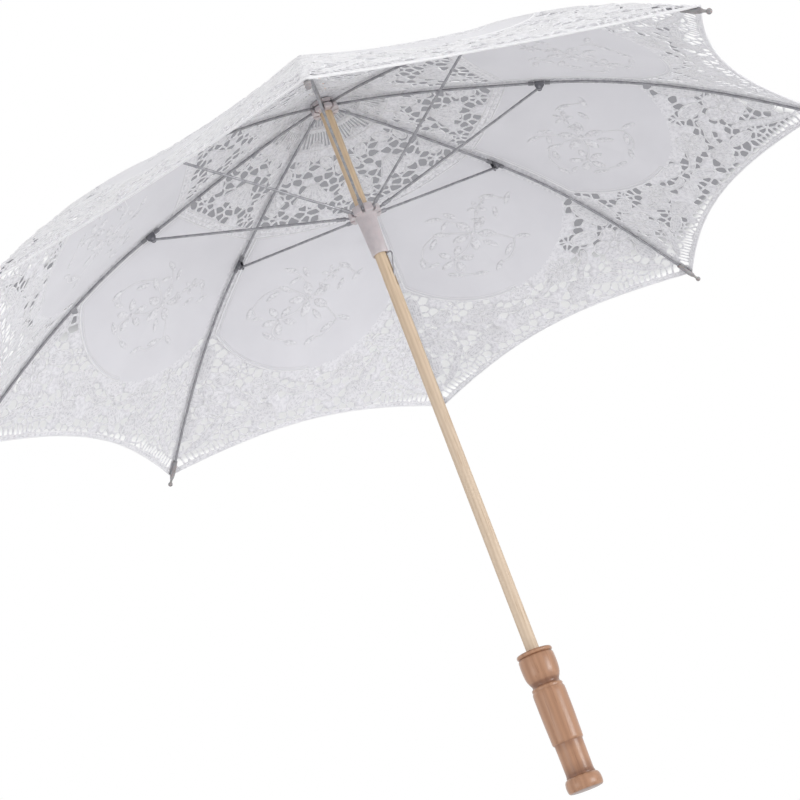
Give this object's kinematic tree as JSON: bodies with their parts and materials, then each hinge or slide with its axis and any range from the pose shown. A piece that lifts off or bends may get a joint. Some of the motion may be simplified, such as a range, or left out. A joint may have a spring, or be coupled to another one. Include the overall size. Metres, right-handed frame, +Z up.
{
  "type": "lace parasol",
  "caption": "Small folding lace parasol: turned wooden handle and shaft, sliding runner with wire catch, steel ribs and stretchers, white cotton lace cover with a scalloped hem.",
  "frame": {"origin": "centre of the handle's flat end face", "axes": "+Z up the shaft to the ferrule; one rib lies along +X and the others follow every 45 degrees about +Z"},
  "size_m": [0.763, 0.763, 0.6446],
  "materials": {
    "birch": "plain sanded pale birch dowel",
    "varnished_wood": "lathe-turned hardwood under clear orange varnish",
    "plated_steel": "thin nickel plating, slightly dulled",
    "spring_steel": "grey drawn spring wire",
    "clear_plastic": "moulded milky plastic, slightly translucent",
    "tip_plastic": "moulded greyish plastic",
    "white_cotton": "white cotton cloth with tape lace, embroidery and a narrow tape hem"
  },
  "bodies": {
    "stick": {"shaft": "birch", "handle": "varnished_wood", "ferrule": "varnished_wood", "top_washer": "plated_steel", "crown_notch": "clear_plastic", "crown_tie_wire": "plated_steel", "crown_pin": "plated_steel"},
    "runner": {"runner": "clear_plastic", "runner_tie_wire": "plated_steel"},
    "catch": {"catch_spring": "spring_steel"},
    "rib_arm_1": {"rib_1": "spring_steel", "rib_clip_1": "plated_steel", "clip_rivet_1": "plated_steel", "rib_tip_1": "tip_plastic", "canopy_panel_1": "white_cotton"},
    "stretcher_arm_1": {"stretcher_1": "plated_steel"},
    "rib_arm_2": {"rib_2": "spring_steel", "rib_clip_2": "plated_steel", "clip_rivet_2": "plated_steel", "rib_tip_2": "tip_plastic", "canopy_panel_2": "white_cotton"},
    "stretcher_arm_2": {"stretcher_2": "plated_steel"},
    "rib_arm_3": {"rib_3": "spring_steel", "rib_clip_3": "plated_steel", "clip_rivet_3": "plated_steel", "rib_tip_3": "tip_plastic", "canopy_panel_3": "white_cotton"},
    "stretcher_arm_3": {"stretcher_3": "plated_steel"},
    "rib_arm_4": {"rib_4": "spring_steel", "rib_clip_4": "plated_steel", "clip_rivet_4": "plated_steel", "rib_tip_4": "tip_plastic", "canopy_panel_4": "white_cotton"},
    "stretcher_arm_4": {"stretcher_4": "plated_steel"},
    "rib_arm_5": {"rib_5": "spring_steel", "rib_clip_5": "plated_steel", "clip_rivet_5": "plated_steel", "rib_tip_5": "tip_plastic", "canopy_panel_5": "white_cotton"},
    "stretcher_arm_5": {"stretcher_5": "plated_steel"},
    "rib_arm_6": {"rib_6": "spring_steel", "rib_clip_6": "plated_steel", "clip_rivet_6": "plated_steel", "rib_tip_6": "tip_plastic", "canopy_panel_6": "white_cotton"},
    "stretcher_arm_6": {"stretcher_6": "plated_steel"},
    "rib_arm_7": {"rib_7": "spring_steel", "rib_clip_7": "plated_steel", "clip_rivet_7": "plated_steel", "rib_tip_7": "tip_plastic", "canopy_panel_7": "white_cotton"},
    "stretcher_arm_7": {"stretcher_7": "plated_steel"},
    "rib_arm_8": {"rib_8": "spring_steel", "rib_clip_8": "plated_steel", "clip_rivet_8": "plated_steel", "rib_tip_8": "tip_plastic", "canopy_panel_8": "white_cotton"},
    "stretcher_arm_8": {"stretcher_8": "plated_steel"}
  },
  "joints": [
    {"name": "runner_slide", "type": "slide", "parent": "stick", "child": "runner", "axis": [0, 0, 1], "range_m": [-0.23533, 0], "deforming": ["catch_spring", "canopy_panel_1", "canopy_panel_2", "canopy_panel_3", "canopy_panel_4", "canopy_panel_5", "canopy_panel_6", "canopy_panel_7", "canopy_panel_8"]},
    {"name": "catch_press", "type": "hinge", "parent": "stick", "child": "catch", "pos_m": [0.00185, -0.00076, 0.4332], "axis": [0.3827, 0.9239, 0], "range_deg": [-12, 0], "stiffness_Nm_per_rad": 0.6},
    {"name": "rib_hinge_1", "type": "hinge", "parent": "stick", "child": "rib_arm_1", "pos_m": [0.009, 0, 0.6], "axis": [0, 1, 0], "range_deg": [0, 65.05]},
    {"name": "stretcher_hinge_1", "type": "hinge", "parent": "rib_arm_1", "child": "stretcher_arm_1", "pos_m": [0.1724, 0, 0.54533], "axis": [0, 1, 0], "range_deg": [-132.81, 0]},
    {"name": "rib_hinge_2", "type": "hinge", "parent": "stick", "child": "rib_arm_2", "pos_m": [0.00636, 0.00636, 0.6], "axis": [-0.7071, 0.7071, 0], "range_deg": [0, 65.05]},
    {"name": "stretcher_hinge_2", "type": "hinge", "parent": "rib_arm_2", "child": "stretcher_arm_2", "pos_m": [0.1219, 0.1219, 0.54533], "axis": [-0.7071, 0.7071, 0], "range_deg": [-132.81, 0]},
    {"name": "rib_hinge_3", "type": "hinge", "parent": "stick", "child": "rib_arm_3", "pos_m": [0, 0.009, 0.6], "axis": [-1, 0, 0], "range_deg": [0, 65.05]},
    {"name": "stretcher_hinge_3", "type": "hinge", "parent": "rib_arm_3", "child": "stretcher_arm_3", "pos_m": [0, 0.1724, 0.54533], "axis": [-1, 0, 0], "range_deg": [-132.81, 0]},
    {"name": "rib_hinge_4", "type": "hinge", "parent": "stick", "child": "rib_arm_4", "pos_m": [-0.00636, 0.00636, 0.6], "axis": [-0.7071, -0.7071, 0], "range_deg": [0, 65.05]},
    {"name": "stretcher_hinge_4", "type": "hinge", "parent": "rib_arm_4", "child": "stretcher_arm_4", "pos_m": [-0.1219, 0.1219, 0.54533], "axis": [-0.7071, -0.7071, 0], "range_deg": [-132.81, 0]},
    {"name": "rib_hinge_5", "type": "hinge", "parent": "stick", "child": "rib_arm_5", "pos_m": [-0.009, 0, 0.6], "axis": [0, -1, 0], "range_deg": [0, 65.05]},
    {"name": "stretcher_hinge_5", "type": "hinge", "parent": "rib_arm_5", "child": "stretcher_arm_5", "pos_m": [-0.1724, 0, 0.54533], "axis": [0, -1, 0], "range_deg": [-132.81, 0]},
    {"name": "rib_hinge_6", "type": "hinge", "parent": "stick", "child": "rib_arm_6", "pos_m": [-0.00636, -0.00636, 0.6], "axis": [0.7071, -0.7071, 0], "range_deg": [0, 65.05]},
    {"name": "stretcher_hinge_6", "type": "hinge", "parent": "rib_arm_6", "child": "stretcher_arm_6", "pos_m": [-0.1219, -0.1219, 0.54533], "axis": [0.7071, -0.7071, 0], "range_deg": [-132.81, 0]},
    {"name": "rib_hinge_7", "type": "hinge", "parent": "stick", "child": "rib_arm_7", "pos_m": [0, -0.009, 0.6], "axis": [1, 0, 0], "range_deg": [0, 65.05]},
    {"name": "stretcher_hinge_7", "type": "hinge", "parent": "rib_arm_7", "child": "stretcher_arm_7", "pos_m": [0, -0.1724, 0.54533], "axis": [1, 0, 0], "range_deg": [-132.81, 0]},
    {"name": "rib_hinge_8", "type": "hinge", "parent": "stick", "child": "rib_arm_8", "pos_m": [0.00636, -0.00636, 0.6], "axis": [0.7071, 0.7071, 0], "range_deg": [0, 65.05]},
    {"name": "stretcher_hinge_8", "type": "hinge", "parent": "rib_arm_8", "child": "stretcher_arm_8", "pos_m": [0.1219, -0.1219, 0.54533], "axis": [0.7071, 0.7071, 0], "range_deg": [-132.81, 0]}
  ],
  "couplings": [
    {"joint": "rib_hinge_1", "follows": "runner_slide", "rad_per_m": -4.8208},
    {"joint": "stretcher_hinge_1", "follows": "runner_slide", "rad_per_m": 9.8466},
    {"joint": "rib_hinge_2", "follows": "runner_slide", "rad_per_m": -4.8208},
    {"joint": "stretcher_hinge_2", "follows": "runner_slide", "rad_per_m": 9.8466},
    {"joint": "rib_hinge_3", "follows": "runner_slide", "rad_per_m": -4.8208},
    {"joint": "stretcher_hinge_3", "follows": "runner_slide", "rad_per_m": 9.8466},
    {"joint": "rib_hinge_4", "follows": "runner_slide", "rad_per_m": -4.8208},
    {"joint": "stretcher_hinge_4", "follows": "runner_slide", "rad_per_m": 9.8466},
    {"joint": "rib_hinge_5", "follows": "runner_slide", "rad_per_m": -4.8208},
    {"joint": "stretcher_hinge_5", "follows": "runner_slide", "rad_per_m": 9.8466},
    {"joint": "rib_hinge_6", "follows": "runner_slide", "rad_per_m": -4.8208},
    {"joint": "stretcher_hinge_6", "follows": "runner_slide", "rad_per_m": 9.8466},
    {"joint": "rib_hinge_7", "follows": "runner_slide", "rad_per_m": -4.8208},
    {"joint": "stretcher_hinge_7", "follows": "runner_slide", "rad_per_m": 9.8466},
    {"joint": "rib_hinge_8", "follows": "runner_slide", "rad_per_m": -4.8208},
    {"joint": "stretcher_hinge_8", "follows": "runner_slide", "rad_per_m": 9.8466}
  ]
}
